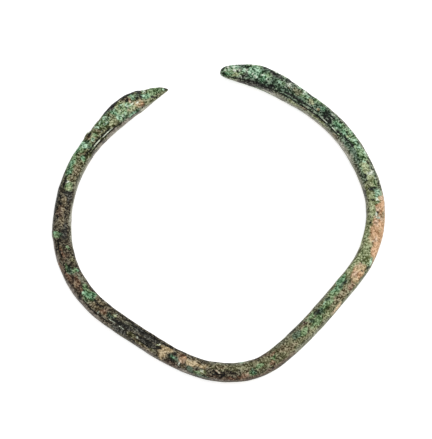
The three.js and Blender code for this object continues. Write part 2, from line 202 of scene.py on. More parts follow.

# The stains of each kind as the photograph shows them, with some painted highlights, painted
# shade and painted reflection among them: the place of the middle, how far round, and half the
# length and half the width, all in mm.
STAINS = {
    "moss": [(12, 0, 17, 5), (126, 0, 25, 5)],
    "sea_green": [(177, 0, 26, 5)],
    "mauve_grey": [
        (12, -3.3, 3.5, 1.1), (16.5, -3.0, 2.5, 0.9), (22, -2.9, 3.5, 1.0), (54, 2.5, 11, 0.75),
        (47, 2.5, 3, 0.7), (61, 2.4, 4, 0.6), (20.5, -3.6, 8, 0.6), (83, 2.7, 4, 0.7),
        (76, 2.4, 2.5, 0.8), (107.3, 2.2, 0.8, 0.7), (190, -2.8, 3, 0.8), (167, 2.0, 2.6, 0.5),
        (114.5, -1.0, 0.8, 0.4), (91.5, 2.6, 5, 0.4), (105, 2.3, 4, 0.6),
    ],
    "olive_grey": [
        (29, -2.6, 5, 0.9), (163, 2.3, 13, 0.7), (6.5, -3.0, 4, 0.9), (41, -2.6, 8, 0.8),
        (109.5, -1.4, 4.5, 0.8), (95, -1.5, 6, 0.4), (136, -2.2, 9, 0.8), (149, -2.4, 6, 0.9),
        (160, -2.6, 8, 1.1), (172, -2.8, 9, 1.2), (182, -2.9, 4, 0.9), (194, -2.0, 2.5, 0.7),
        (66, 1.9, 2, 0.5), (128, 2.8, 6, 0.6), (118, -1.9, 5, 0.6), (113, 2.3, 6, 0.6),
        (55.5, -0.9, 1.6, 0.6), (70.8, -0.5, 2.0, 0.5),
    ],
    # Pale grey on the inner walls: their grey made paler as a painted reflection of the white table.
    "pale_grey": [
        (5, -2.7, 3, 0.4), (14, -4.0, 3, 0.5), (25, -3.8, 4, 0.5), (33, -3.2, 10, 0.5),
        (41, -2.6, 5, 0.5), (165, -3.8, 18, 0.6), (162, -2.6, 4, 0.6), (183, -3.2, 3, 0.6),
    ],
    "slate": [
        # The first mark, on the outer rim of the left head, is painted shade.
        (12.5, 2.8, 3.2, 0.7), (36, 2.6, 6.5, 1.3), (113, -1.9, 2, 0.3), (180.8, 1.7, 0.9, 1.0),
        (184, 1.4, 1.6, 0.7), (169.4, 0.1, 1.3, 1.2), (23.5, -2.6, 2.0, 0.5),
        (19.7, -2.8, 0.4, 0.7), (149.5, -2.6, 1.2, 0.8), (74.5, -0.6, 4.5, 0.6),
        (68.5, 0.3, 3.2, 0.5), (76, 0.7, 2.2, 0.5), (44.3, -0.4, 1.3, 0.6), (35.2, -0.9, 1.5, 0.6),
        (42.7, -0.8, 1.2, 0.35), (118, -0.2, 1.3, 0.8), (69, 1.6, 2.2, 0.8),
        (111.5, -1.8, 1.2, 0.3), (190.5, -0.9, 0.8, 0.8), (9.7, -2.6, 1.6, 0.5),
        (13.6, 1.9, 0.8, 0.5), (189.5, -2.7, 2.6, 0.8), (187.5, -2.6, 3.5, 0.6),
        (184.0, -2.6, 1.5, 0.4),
    ],
    "russet": [
        (55, 0.9, 2.2, 0.8), (57.2, 0.5, 0.8, 0.7), (52, 2.2, 1.8, 0.7), (49, 0.3, 0.9, 0.9),
        (94, 1.8, 1.4, 0.7), (97, 1.6, 1.2, 0.7), (102, -1.3, 2.4, 0.6), (102, -1.9, 2.4, 0.5),
        (103.4, 1.2, 0.6, 0.4), (104, 2.3, 2.4, 0.8), (107.2, 2.2, 1.4, 0.8), (99, 2.6, 5, 0.6),
        (126.5, 1.2, 0.8, 0.9), (64.5, 0.2, 1.0, 0.9), (82, 2.2, 1.6, 0.7), (83.8, -0.9, 1.2, 0.4),
        (91.6, 1.6, 1.6, 0.6), (9.4, 1.2, 0.7, 0.5), (7.4, -1.8, 0.8, 0.3), (65.5, 1.9, 1.4, 0.4),
        (39, 0.4, 1.4, 0.8), (114.4, -0.8, 0.6, 0.4),
    ],
    "olive": [
        (2.4, 0.3, 2.6, 1.5), (9, -0.6, 1.5, 1.0), (15.0, -0.8, 1.4, 0.9), (18, 0.0, 1.6, 1.1),
        (21, 0.3, 1.2, 1.2), (27, -0.3, 3.0, 0.9), (31.3, -0.6, 1.2, 0.8), (93, -0.5, 4.5, 0.6),
        (98, -0.4, 2.4, 0.7), (101.5, 0.0, 2.6, 1.3), (106, 0.4, 3.2, 1.4), (109, 0.2, 2.2, 1.4),
        (113, 0.9, 3.5, 1.0), (122, 0.8, 4.0, 1.1), (126, 0.3, 1.6, 0.9), (140, -1.3, 6.5, 0.7),
        (148.5, -0.9, 2.6, 0.8), (151, 0.2, 1.6, 1.0), (88, 1.7, 1.2, 0.6), (74.2, 1.7, 1.2, 0.4),
        (71.8, 1.1, 1.0, 0.35), (77.3, 1.5, 0.8, 0.4), (156, 0.8, 1.2, 0.6), (178, 0.4, 1.4, 0.8),
        (193.5, 0.0, 1.2, 0.6), (116, -1.9, 1.4, 0.5), (50, -1.2, 1.2, 0.5),
    ],
    "tan": [
        (29, -0.7, 1.5, 0.6), (36.5, 0.0, 1.0, 0.4), (38.5, -0.1, 1.2, 0.4), (41.2, 0.1, 0.9, 0.4),
        (62.3, 0.6, 1.4, 0.6), (62.0, -0.8, 1.3, 0.4), (64.4, 0.7, 0.9, 0.4), (78, -0.4, 0.5, 0.3),
        (79.8, 0.6, 1.4, 1.6), (86.7, -0.1, 3.4, 0.8), (82.6, -0.6, 1.0, 0.4),
        (84.6, 1.3, 0.5, 0.4), (92.5, -0.6, 1.6, 0.3), (97.5, 0.8, 0.8, 0.6),
        (102.9, 1.7, 0.5, 0.4), (107, -0.2, 1.2, 0.7), (108.5, 0.7, 1.4, 0.6),
        (105, -0.7, 0.7, 0.3), (113.2, -0.8, 0.7, 0.3), (124, 1.1, 1.7, 0.8),
        (122.4, 0.5, 0.9, 0.4), (7.6, -0.9, 1.2, 0.8), (18.8, 0.1, 0.4, 0.4), (21.2, 0.8, 0.5, 0.8),
        (24.6, -0.3, 0.5, 0.4), (31.2, -0.4, 0.5, 0.5), (10.4, -1.1, 0.6, 0.4),
        (8.7, 0.6, 0.5, 0.4), (10.4, 1.8, 0.3, 0.6), (12.2, 1.9, 0.35, 0.7), (3.8, 0.5, 0.3, 0.3),
        (73.5, 1.5, 0.8, 0.3), (75.8, 1.9, 1.6, 0.4), (174.4, 0.2, 0.9, 0.5),
        (177.5, -0.2, 0.6, 0.25), (180.2, 0.2, 0.3, 0.4), (154.2, 0.4, 0.6, 0.4),
        (164.8, -2.2, 1.0, 0.6), (174.8, -1.9, 0.9, 0.4), (47.2, 0.6, 0.5, 0.4),
        (56.0, 0.5, 0.5, 0.4),
    ],
    "rust": [
        (97, 1.5, 1.2, 0.5), (57.4, 0.4, 0.4, 0.35), (56, 0.2, 0.6, 0.5), (103.4, 1.0, 0.6, 0.4),
        (104.6, -0.8, 0.8, 0.3), (83.8, -0.5, 0.9, 0.5), (55.3, -0.2, 0.8, 0.4),
        (53.6, 1.2, 0.9, 0.5), (64.2, 0.3, 0.8, 0.4), (94.6, 1.9, 0.9, 0.4), (48.9, 0.4, 0.6, 0.4),
        (126.6, 1.3, 0.6, 0.6), (50.6, 2.4, 0.8, 0.6), (47.9, 0.9, 0.6, 0.3),
        (6.8, -1.6, 0.35, 0.25),
    ],
    "green": [
        (3, 0.3, 1.8, 0.9), (11.5, 0.1, 2.3, 1.2), (9.6, -0.8, 1.0, 0.4), (16.6, 0.6, 1.6, 1.1),
        (12, -1.2, 1.8, 0.7), (20.1, 0.3, 0.6, 0.5), (22.6, 0.3, 0.9, 1.3), (24.4, 1.2, 1.2, 1.1),
        (28, 1.3, 2.8, 1.1), (33, -0.2, 0.8, 0.9), (44, 1.3, 0.7, 0.9), (51.8, 0.6, 1.0, 0.4),
        (53, -0.8, 0.5, 0.6), (57.3, -0.6, 0.7, 0.5), (59.2, -0.2, 1.6, 1.1), (87.8, 1.5, 0.6, 0.4),
        (100.6, 0.3, 0.8, 0.5), (104.3, 0.1, 0.6, 0.4), (112.3, 0.2, 1.4, 0.5),
        (116.3, 0.7, 1.6, 0.8), (120, -0.1, 2.2, 0.8), (124.2, -0.6, 2.4, 0.8),
        (127, -1.1, 1.8, 0.7), (133.9, 0.6, 1.3, 1.3), (135.2, -0.5, 2.4, 0.6),
        (139.3, -1.2, 1.4, 0.6), (131, -1.2, 2.6, 0.5), (144.4, -0.6, 1.6, 0.7),
        (147.3, -0.3, 1.3, 0.9), (151.6, 0.3, 1.4, 0.8), (155, -0.2, 1.4, 0.9),
        (158.5, 0.5, 2.4, 0.9), (162.4, 0.6, 2.4, 0.9), (166, 0.2, 1.6, 0.9), (176, 0.3, 1.4, 0.7),
        (182.4, 0.2, 1.3, 0.8), (186, 0.0, 1.2, 1.1), (192.8, -0.4, 2.0, 1.1),
        (194.5, 0.3, 1.2, 0.8), (4.4, -0.2, 0.8, 0.8), (8, 1.2, 0.7, 0.7), (17.8, 1.6, 0.7, 0.6),
        (26, -0.9, 0.5, 0.5), (183, -1.2, 1.2, 0.5), (189, 1.7, 2.0, 0.9), (173, 1.4, 1.6, 0.6),
        (47.6, -0.9, 0.5, 0.3), (98.9, 1.0, 0.7, 0.7), (116, -1.0, 1.2, 0.4),
        (165.6, -1.2, 1.6, 0.4), (193.5, -1.1, 1.5, 0.6),
    ],
    "bottle": [
        (186, -1.5, 3, 0.5), (181.5, -0.8, 1.8, 0.7), (183.4, 0.1, 1.3, 1.0),
        (191.2, 1.1, 1.4, 0.6), (186.4, -0.8, 1.6, 0.5), (176.5, -0.4, 1.6, 0.4),
        (186.8, 1.4, 1.0, 0.8), (189.4, -1.2, 1.0, 0.4), (99.2, 0.9, 0.5, 0.6),
        (158.8, -0.7, 1.6, 0.4), (17, 3.0, 3, 0.6), (26, 2.8, 4, 0.4), (160.2, -0.7, 3.4, 0.6),
        (186, -1.2, 1.5, 0.7), (81.9, 0.6, 0.95, 0.75), (86.3, 1.6, 0.7, 0.8),
        (111.2, -0.3, 1.1, 0.7), (118.2, -0.1, 1.0, 0.5), (126.4, -0.3, 1.3, 0.4),
        (170.5, 0.2, 2.2, 0.8), (171.8, 0.9, 1.2, 0.5), (166.2, -0.4, 1.4, 0.5),
        (181.8, -0.5, 1.0, 0.6), (187.1, 0.6, 0.4, 0.9), (190.2, 1.1, 0.8, 0.5),
        (186.4, 1.9, 0.9, 0.7), (7.0, 0.9, 0.6, 0.6), (9.5, -2.1, 1.8, 0.3), (12.6, -1.9, 1.4, 0.3),
        (22.2, 0.6, 0.5, 0.5), (23, -0.3, 0.5, 0.4), (88.8, 2.3, 1.6, 0.4), (149.7, 0.3, 0.7, 0.9),
        (133.2, 2.1, 1.2, 0.4), (65.8, 0.2, 0.9, 0.6), (44.1, 0.4, 0.6, 0.4), (52.4, 0.2, 1.0, 0.6),
        (115.6, 0.0, 0.6, 0.4), (15.7, 0.6, 0.6, 0.2), (25.4, 0.9, 0.5, 0.3), (28.7, 1.2, 1.0, 0.4),
        (121.4, -0.8, 0.5, 0.4), (183.3, -0.9, 0.8, 0.6), (172.3, 0.3, 0.5, 0.5),
        (82.9, 0.5, 0.4, 0.4),
    ],
    "yellow_green": [
        (133.6, 0.3, 1.8, 1.0), (130, -0.6, 2.0, 0.3), (151.5, 0.0, 1.2, 0.6),
        (154.5, -0.2, 1.6, 0.6), (146.5, -0.9, 1.4, 0.4), (143.6, -0.7, 0.8, 0.3),
        (33.5, 0.0, 0.25, 0.3), (33.0, -0.7, 0.35, 0.3), (31.2, 0.4, 0.4, 0.4),
        (119, 1.5, 0.9, 0.7), (135, -0.3, 1.6, 0.5), (115.1, 1.7, 0.6, 0.3), (134, 0.5, 0.7, 0.5),
        (12.1, -0.3, 0.4, 0.4), (8.8, -0.3, 0.5, 0.35), (15.2, -0.8, 1.0, 0.5),
        (9.6, -1.3, 1.4, 0.35), (11.5, 1.2, 1.2, 0.7), (88.9, 1.0, 0.8, 0.35),
        (152.3, 0.4, 0.9, 0.4), (192.6, -0.9, 0.9, 0.4), (139.9, -1.6, 1.6, 0.6),
        (134.2, 1.2, 0.9, 0.6), (174.2, 0.3, 0.8, 0.4), (147.4, 0.2, 0.4, 0.4),
        (162.8, 0.4, 0.5, 0.4), (20.8, 0.1, 0.4, 0.4), (77.9, -0.3, 0.4, 0.3),
        (66.7, -0.6, 0.3, 0.45), (170.5, -2.2, 2.5, 0.3), (177.5, -2.3, 1.6, 0.5),
        (131.5, -0.9, 3.2, 0.9), (137.0, -0.6, 2.4, 1.0), (141.5, -1.2, 2.8, 0.8),
        (146.0, -0.8, 2.4, 0.8), (149.5, -1.2, 1.8, 0.6), (138.5, -2.3, 4.0, 0.6),
    ],
    "terracotta": [
        (130, 0.7, 1.9, 1.2), (137.3, 1.5, 2.6, 0.9), (140.4, 0.8, 3.2, 1.5),
        (142.2, 0.1, 0.9, 0.9), (146.3, 1.4, 2.0, 0.7), (145.2, 0.8, 1.4, 0.8),
        (7.0, -1.25, 0.22, 0.3), (84.3, -0.2, 0.5, 0.4), (139, 2.2, 4.4, 0.7), (141, 3.1, 7, 0.7),
    ],
    "rose": [
        (84.0, 0.2, 0.7, 0.5), (129.2, 0.3, 0.9, 0.7), (131.4, 0.1, 0.8, 0.5),
        (143.3, 0.7, 0.6, 0.9), (142.0, 0.2, 0.7, 0.6), (121.4, 2.4, 1.5, 0.6),
        (127.7, 1.2, 0.4, 0.7), (145.0, 0.2, 0.7, 0.5), (138, 2.8, 3.0, 0.5), (145, 2.6, 3.4, 0.6),
        (91.7, 0.5, 0.4, 0.3), (138.4, 0.9, 0.5, 0.4), (148, 1.8, 0.9, 0.7),
        (10.4, -1.0, 0.3, 0.25), (9.0, 0.6, 0.3, 0.2),
    ],
    "buff": [
        (7.8, -0.8, 0.95, 0.7), (79.4, 0.1, 1.0, 1.0), (79.7, 1.6, 0.6, 1.0),
        (80.4, -0.5, 0.7, 0.4), (86.2, 0.2, 1.4, 0.5), (88.0, 0.0, 1.2, 0.4),
        (131.0, 0.6, 0.9, 0.9), (128.6, 1.0, 0.7, 0.9), (140.6, 1.1, 0.5, 0.3),
        (147.4, 0.9, 0.7, 0.4), (85.3, 0.3, 0.6, 0.4), (121.8, 2.1, 1.2, 0.4),
        (172.0, -0.2, 0.35, 0.3), (103.5, 0.6, 0.25, 0.2),
    ],
    "malachite": [
        (5.3, -0.2, 0.8, 0.5), (13.5, 0.6, 0.6, 0.8), (8.2, 1.5, 0.5, 0.4), (22.9, 1.5, 0.6, 0.8),
        (25.9, -0.4, 0.35, 0.6), (24.6, 1.6, 1.2, 0.6), (29.8, 0.7, 0.7, 0.4),
        (27.8, 1.0, 1.0, 0.4), (43.7, 1.5, 0.5, 0.5), (58.7, 0.1, 0.9, 0.6), (59.7, -0.9, 0.8, 0.7),
        (59.6, -0.2, 0.8, 0.5), (53.2, -1.2, 0.5, 0.4), (124.3, -0.9, 1.0, 0.6),
        (126.4, -1.2, 1.5, 0.5), (99.1, 0.9, 0.2, 0.25), (14.6, 1.8, 0.6, 0.4),
        (188.6, 0.3, 1.6, 1.3), (186.2, -0.4, 0.7, 0.7), (166.6, 0.2, 1.0, 0.5),
        (164.2, 0.1, 0.8, 0.5), (171.4, 0.5, 0.5, 0.4), (6.0, 0.3, 0.4, 0.3), (9.8, -2.3, 1.3, 0.3),
        (194.4, -0.6, 0.8, 0.3), (81.9, 0.6, 0.35, 0.3),
    ],
    "mint": [
        (11.3, 0.9, 0.45, 0.3), (12.2, -0.4, 0.3, 0.25), (10.0, 0.2, 0.3, 0.25),
        (195.2, 0.3, 0.3, 0.4), (5.1, 1.3, 0.4, 0.7), (5.9, 0.2, 0.4, 0.4), (13.3, -0.8, 0.6, 0.6),
        (12.3, -1.3, 0.4, 0.3), (11.6, -1.1, 0.3, 0.3), (15.6, 1.2, 0.6, 0.3),
        (16.3, -0.1, 0.5, 0.35), (23.4, 0.4, 0.5, 0.5), (23.0, 1.3, 0.4, 0.6),
        (58.3, 0.5, 0.4, 0.3), (8.1, 0.8, 0.3, 0.3), (21.0, -0.2, 0.3, 0.3), (133.9, 1.8, 0.7, 0.3),
        (149.0, 0.9, 0.7, 0.7), (148.2, 0.3, 0.5, 0.3), (158.0, 1.3, 0.5, 0.3),
        (161.2, 0.9, 0.7, 0.4), (162.5, 0.3, 0.4, 0.3), (163.9, 0.0, 0.4, 0.3),
        (166.2, -0.6, 0.35, 0.25), (176.8, 1.2, 0.5, 0.5), (178.0, 2.1, 0.35, 0.7),
        (182.5, 0.4, 0.45, 0.35), (182.3, -1.3, 0.25, 0.4), (185.4, -0.5, 0.4, 0.45),
        (186.4, 0.2, 0.4, 0.3), (187.9, -0.8, 0.6, 0.4), (188.4, 1.2, 0.5, 0.7),
        (189.3, -0.3, 0.6, 0.5), (189.7, 0.6, 0.6, 0.4), (190.8, 0.3, 0.5, 0.5),
        (187.7, 0.1, 0.4, 0.5), (192.5, 0.6, 0.4, 0.35), (194.0, 0.3, 0.5, 0.3),
        # The two dots at 9.7 and 10.6 mm, low on the left neck's inner wall, are painted highlights.
        (193.0, 1.1, 0.8, 0.4), (9.7, -2.2, 0.25, 0.18), (10.6, -2.3, 0.25, 0.18),
        (9.4, -0.4, 0.3, 0.2), (12.9, 1.2, 0.4, 0.3), (1.1, 0.1, 0.4, 0.35), (175.6, 0.7, 0.5, 0.4),
        (159.8, 1.0, 0.5, 0.3), (156.3, 0.3, 0.4, 0.3), (14.8, 0.9, 0.3, 0.3),
        (17.0, 0.9, 0.3, 0.2), (120.4, -0.7, 0.5, 0.25), (163.8, 1.5, 0.8, 0.3),
        (18.3, 0.9, 0.3, 0.3), (97.2, -1.9, 0.6, 0.3),
    ],
    "cream": [
        (7.9, -0.6, 0.4, 0.3), (19.6, -0.95, 0.25, 0.22), (59.8, 1.0, 0.18, 0.15),
        (63.4, 1.0, 0.18, 0.4), (32.1, 0.2, 0.3, 0.4), (153.4, 0.4, 0.6, 0.5),
        (191.3, -1.4, 0.35, 0.35), (79.2, -0.6, 0.4, 0.15), (144.1, -0.15, 0.35, 0.25),
        (73.2, 0.85, 0.2, 0.12), (88.7, 1.1, 0.4, 0.2), (83.6, 1.2, 0.15, 0.4),
        (143.2, 0.5, 0.4, 0.5), (181.0, 0.0, 0.25, 0.2), (176.8, 1.3, 0.35, 0.35),
        # The dot at 169.1 mm, on the black patch, is a painted highlight.
        (158.2, 1.5, 0.4, 0.25), (169.1, 1.0, 0.3, 0.2), (195.0, 0.3, 0.3, 0.25),
        (9.0, 2.8, 0.5, 0.3), (138.0, 0.35, 0.25, 0.15), (192.0, 0.0, 0.3, 0.3),
        (179.2, 1.9, 0.3, 0.4), (182.6, 2.5, 0.5, 0.4), (184.6, 2.4, 0.3, 0.5),
        (20.0, 2.1, 0.35, 0.5), (18.4, 1.7, 0.25, 0.4), (5.0, 1.1, 0.25, 0.4),
        (147.4, 0.3, 0.25, 0.25), (190.0, -0.1, 0.2, 0.2), (185.4, -0.5, 0.2, 0.25),
        (152.0, 1.2, 0.4, 0.2), (91.8, 0.5, 0.2, 0.15), (78.0, -0.4, 0.25, 0.2),
        (185.3, -0.55, 0.3, 0.3), (187.9, -0.8, 0.35, 0.3), (188.6, -0.2, 0.28, 0.28),
        (190.3, 0.5, 0.35, 0.3), (189.1, 1.8, 0.2, 0.3), (191.9, 0.1, 0.28, 0.32),
        (193.0, -0.1, 0.28, 0.28), (192.8, 0.9, 0.28, 0.28), (194.3, 1.2, 0.28, 0.3),
        (182.2, -1.3, 0.28, 0.28), (186.6, 0.3, 0.2, 0.2), (180.4, 1.0, 0.5, 0.4),
        (179.6, 0.6, 0.3, 0.2), (177.0, 0.5, 0.3, 0.2), (8.9, -0.3, 0.25, 0.2),
        (10.1, -0.3, 0.25, 0.2), (12.1, -0.3, 0.2, 0.2), (12.4, -1.3, 0.25, 0.2),
        (16.1, 0.0, 0.25, 0.2), (16.9, 0.3, 0.2, 0.2), (18.3, -0.3, 0.2, 0.2),
        (13.3, -0.3, 0.2, 0.2),
    ],
    "black": [
        (0.35, 0.25, 0.35, 0.35), (6.3, 1.4, 0.45, 0.9), (6.6, 0.15, 0.4, 0.22),
        # The marks at 7.7 and 10.3 mm here and at 13.0 mm on the next line, 2.2 to 2.7 round, are
        # painted shade on the left head's outer rim.
        (7.3, 0.35, 0.35, 0.2), (7.7, 2.2, 1.2, 0.45), (10.3, 2.7, 1.3, 0.35),
        (13.0, 2.7, 2.2, 0.4), (14.7, 2.1, 0.2, 0.7), (4.2, -1.0, 0.5, 0.2), (3.2, -1.2, 0.4, 0.2),
        (9.4, 1.0, 0.3, 0.25), (10.8, -0.2, 0.3, 0.15), (20.3, 1.3, 0.35, 0.2),
        (20.8, 1.1, 0.35, 0.25), (26.7, -1.4, 0.35, 0.15), (27.5, -1.3, 0.3, 0.14),
        (31.0, 1.1, 0.35, 0.25), (33.0, 0.9, 0.9, 0.16), (35.5, 1.1, 0.5, 0.25),
        (37.2, 0.8, 0.5, 0.2), (38.2, 1.2, 0.4, 0.15), (40.0, 0.9, 0.5, 0.2), (31.9, 0.6, 0.2, 0.3),
        (34.3, 0.0, 0.3, 0.6), (34.4, -1.2, 0.3, 0.5), (36.8, -1.2, 0.3, 0.25),
        (47.2, 1.3, 0.2, 0.3), (48.2, 1.0, 0.3, 0.2), (45.0, -1.6, 0.2, 0.25),
        (58.5, 1.6, 0.3, 0.2), (57.5, 0.0, 0.3, 0.2), (60.2, -0.65, 0.3, 0.15),
        (61.4, -0.3, 0.45, 0.16), (76.6, 0.3, 0.5, 0.2), (78.3, 0.25, 0.45, 0.28),
        (81.8, 1.35, 0.7, 0.15), (81.0, 0.7, 0.15, 0.4), (82.0, -0.5, 0.4, 0.2),
        (88.5, 0.65, 0.5, 0.15), (91.4, 1.0, 0.55, 0.2), (92.3, 1.4, 0.5, 0.2),
        (90.3, -0.1, 0.25, 0.15), (93.0, 0.8, 0.3, 0.3), (91.0, -1.5, 0.14, 0.3),
        (94.9, -0.1, 0.2, 0.2), (100.8, -1.1, 0.3, 0.2), (102.0, -1.1, 0.3, 0.15),
        (100.2, -1.9, 0.35, 0.3), (102.9, 2.3, 0.2, 0.3), (113.2, 1.1, 0.3, 0.15),
        (121.5, -2.1, 0.3, 0.3), (118.0, -0.5, 0.3, 0.3), (120.0, 0.4, 0.15, 0.15),
        (120.0, 1.0, 0.2, 0.1), (126.5, -0.35, 0.6, 0.2), (128.1, 0.6, 0.25, 0.15),
        (130.9, 1.2, 0.2, 0.2), (132.3, 0.3, 0.25, 0.15), (133.0, 0.3, 0.22, 0.2),
        (134.1, -0.4, 0.22, 0.22), (132.4, 2.1, 0.3, 0.3), (137.5, 0.4, 0.2, 0.15),
        (144.4, 0.2, 0.3, 0.25), (143.3, -1.0, 0.2, 0.2), (142.0, -1.2, 0.25, 0.15),
        (144.6, -1.5, 0.2, 0.2), (145.6, -1.6, 0.2, 0.2), (147.3, -0.45, 0.25, 0.25),
        (149.6, -0.25, 0.3, 0.4), (149.7, -0.9, 0.25, 0.25), (150.4, 1.1, 0.25, 0.2),
        (150.1, 0.3, 0.2, 0.4), (152.6, 1.3, 0.15, 0.2), (153.1, -0.8, 0.4, 0.3),
        (152.2, -0.8, 0.3, 0.2), (155.8, 0.8, 0.4, 0.15), (156.5, 1.2, 0.15, 0.2),
        (161.3, -0.3, 1.1, 0.10), (162.3, -1.4, 0.4, 0.2), (163.8, 0.7, 0.3, 0.15),
        (164.4, -0.4, 0.3, 0.25), (165.3, -0.9, 0.4, 0.25), (168.3, -0.6, 0.5, 0.2),
        (169.6, -0.2, 0.2, 0.5), (173.3, 0.4, 0.25, 0.15), (176.0, -1.0, 1.3, 0.2),
        (178.8, -1.05, 1.6, 0.22), (175.3, 1.4, 0.25, 0.3), (179.0, 1.3, 0.22, 0.18),
        (180.6, 2.0, 0.6, 0.6), (183.6, -1.4, 0.8, 0.4), (184.6, 1.7, 1.0, 0.4),
        (186.4, 2.3, 0.8, 0.4), (188.9, 0.95, 0.18, 0.15), (189.8, 1.3, 0.5, 0.15),
        (190.4, 0.7, 0.2, 0.2), (191.0, -1.4, 0.25, 0.35), (185.5, -2.0, 2.6, 0.25),
        # The marks at 8 and 12.5 mm on this line, and both on the last line, are painted shade on
        # the left head's outer rim.
        (8, 2.6, 2.2, 0.5), (12.5, 2.9, 2.4, 0.55), (195.5, -0.4, 0.4, 0.15),
        (192.3, -0.25, 0.25, 0.16), (195.5, 0.9, 0.3, 0.2), (195.9, 0.4, 0.12, 0.6),
        (8.5, 2.1, 1.6, 0.3), (12.5, 2.2, 1.6, 0.3),
    ],
}

# A sharp arris left on the inner side of the left neck: a burnished ridge between two grooves
# that hold black dirt. The ridge is painted pale cream as a highlight. Each line is a list of
# places along the bar and round it.
NECK_RIDGE_BELOW = [(16.3, -1.7), (18, -1.6), (19.1, -1.52)]
NECK_RIDGE_ABOVE = [(20.2, -1.4), (21, -1.33), (22.2, -1.27)]
NECK_LOWER_GROOVE = [
    (13.8, -2.25), (15.2, -2.08), (17, -1.95), (19, -1.82), (21, -1.68), (23.8, -1.6),
]
NECK_UPPER_GROOVE = [
    (16.6, -1.4), (18.2, -1.28), (20, -1.08), (21.6, -0.92), (23.2, -1.08), (25.2, -0.7),
]
RIDGE_WIDTH = 0.08
GROOVE_WIDTH = 0.15

# Narrow cracks full of black dirt, most of them along the bar, and thin pale lines: scratches,
# except the two at 168 to 170 mm along the bar, which are painted highlights.
CRACKS = [
    [
        (164.5, -1.5), (167, -1.45), (169.5, -1.6), (171, -1.5), (174.5, -1.65), (178, -1.7),
        (182, -1.85), (185, -2.1), (188, -2.0), (191, -1.95), (193, -1.6), (195, -1.1),
    ],
    [(171.5, -0.7), (173, -0.75), (175, -1.0), (178, -1.05), (180.5, -1.15)],
    [(160.3, -0.25), (162, -0.4), (163, -0.6), (165.5, -0.95)],
    [(168.0, 0.5), (168.9, 0.55), (169.8, 0.4), (170.3, 0.7)],
    [(168.0, -0.35), (169.2, -0.3), (169.7, 0.1)],
    [(168.0, -0.95), (169.6, -1.0), (170.0, -0.4), (170.5, 0.2)],
    [(59.5, 1.5), (61.5, 1.65), (63.5, 1.55), (66.5, 1.6)],
    [(66.6, 0.65), (68.6, 0.6)],
    [(68.4, 0.2), (70.6, 0.1), (71.6, -0.1)],
    [(70.8, -0.75), (73.5, -0.8)],
    [(72.4, 0.4), (74.4, 0.5), (76.8, 0.3)],
    [(74.6, 1.2), (77.0, 1.15), (78.6, 0.3)],
    [(69.0, -1.35), (73.0, -1.3), (77.5, -1.15), (81.0, -1.2)],
    [(31.6, 0.95), (33.8, 0.75)],
    [(60.8, -0.3), (62.2, -0.15), (63.4, -0.4)],
    [(45.4, 1.0), (47.4, 1.2), (49.2, 0.9)],
    [(90.9, 1.2), (92.2, 0.9), (93.4, 1.3)],
]
CRACK_WIDTH = 0.13
SCRATCHES_AND_GLINTS = [
    # The first and third lines, on the black patch, are painted highlights.
    [(168.0, 0.12), (168.9, 0.15)],
    [(164.9, -1.2), (167.0, -1.22)],
    [(168.5, -1.25), (170.1, -1.25)],
    [(65.9, 0.9), (67.6, 0.85)],
    [(68.6, 0.9), (70.0, 0.95)],
    [(66.3, -0.3), (67.0, -1.0)],
]
SCRATCH_AND_GLINT_WIDTH = 0.07


def spread(distance):
    """One at a stain's middle, a half on its outline, and nearly nothing at twice its size."""
    return 1.0 / (1.0 + distance ** 4)


def distance_to_line(points):
    """How far each point of the skin is from a line drawn on it."""
    nearest = np.full(place.shape, np.inf)
    for (place_1, round_1), (place_2, round_2) in zip(points, points[1:]):
        run = np.array([place_2 - place_1, round_2 - round_1])
        share = ((place - place_1) * run[0] + (off_crest - round_1) * run[1]) / (run @ run)
        share = np.clip(share, 0.0, 1.0)
        gap = np.hypot(place - place_1 - share * run[0], off_crest - round_1 - share * run[1])
        nearest = np.minimum(nearest, gap)
    return nearest


SEED_SHIFT = Vector((17.3, 5.1, 9.7))


def lumps(points, size, seed):
    """Smooth noise between about -1 and 1 with lumps of the given size in mm."""
    shift = SEED_SHIFT * seed
    flat = points.reshape(-1, 3) / size
    values = [noise.noise(Vector(point) + shift) for point in flat.tolist()]
    return np.array(values).reshape(points.shape[:-1])


# Stains have ragged outlines, so each point looks up its stains a little way off from itself.
STRAY_SIZE = 0.9
STRAY = 0.55
stray_place = place + lumps(surface, STRAY_SIZE, seed=6) * STRAY
stray_round = off_crest + lumps(surface, STRAY_SIZE, seed=7) * STRAY


def stain_cover(stains):
    """How much of one kind of patina lies on each point of the skin."""
    cover = np.zeros(place.shape)
    for stain_place, stain_round, half_length, half_width in stains:
        off_place = (stray_place - stain_place) / half_length
        off_round = (stray_round - stain_round) / half_width
        cover = np.maximum(cover, spread(np.hypot(off_place, off_round)))
    return cover


covers = {kind: stain_cover(stains) for kind, stains in STAINS.items()}
ridge_gap = np.minimum(distance_to_line(NECK_RIDGE_BELOW), distance_to_line(NECK_RIDGE_ABOVE))
ridge_and_highlight = spread(ridge_gap / RIDGE_WIDTH)
lower_groove = spread(distance_to_line(NECK_LOWER_GROOVE) / GROOVE_WIDTH)
upper_groove = spread(distance_to_line(NECK_UPPER_GROOVE) / GROOVE_WIDTH)
cracked = np.maximum.reduce([spread(distance_to_line(line) / CRACK_WIDTH) for line in CRACKS])
scratches_and_glints = np.maximum.reduce([spread(distance_to_line(line) / SCRATCH_AND_GLINT_WIDTH) for line in SCRATCHES_AND_GLINTS])
covers["black"] = np.maximum.reduce([covers["black"], lower_groove, upper_groove, cracked])
# Cream also paints a highlight along the neck's ridge and along the thin lines at 168 to 170 mm.
covers["cream"] = np.maximum.reduce([covers["cream"], ridge_and_highlight, scratches_and_glints])

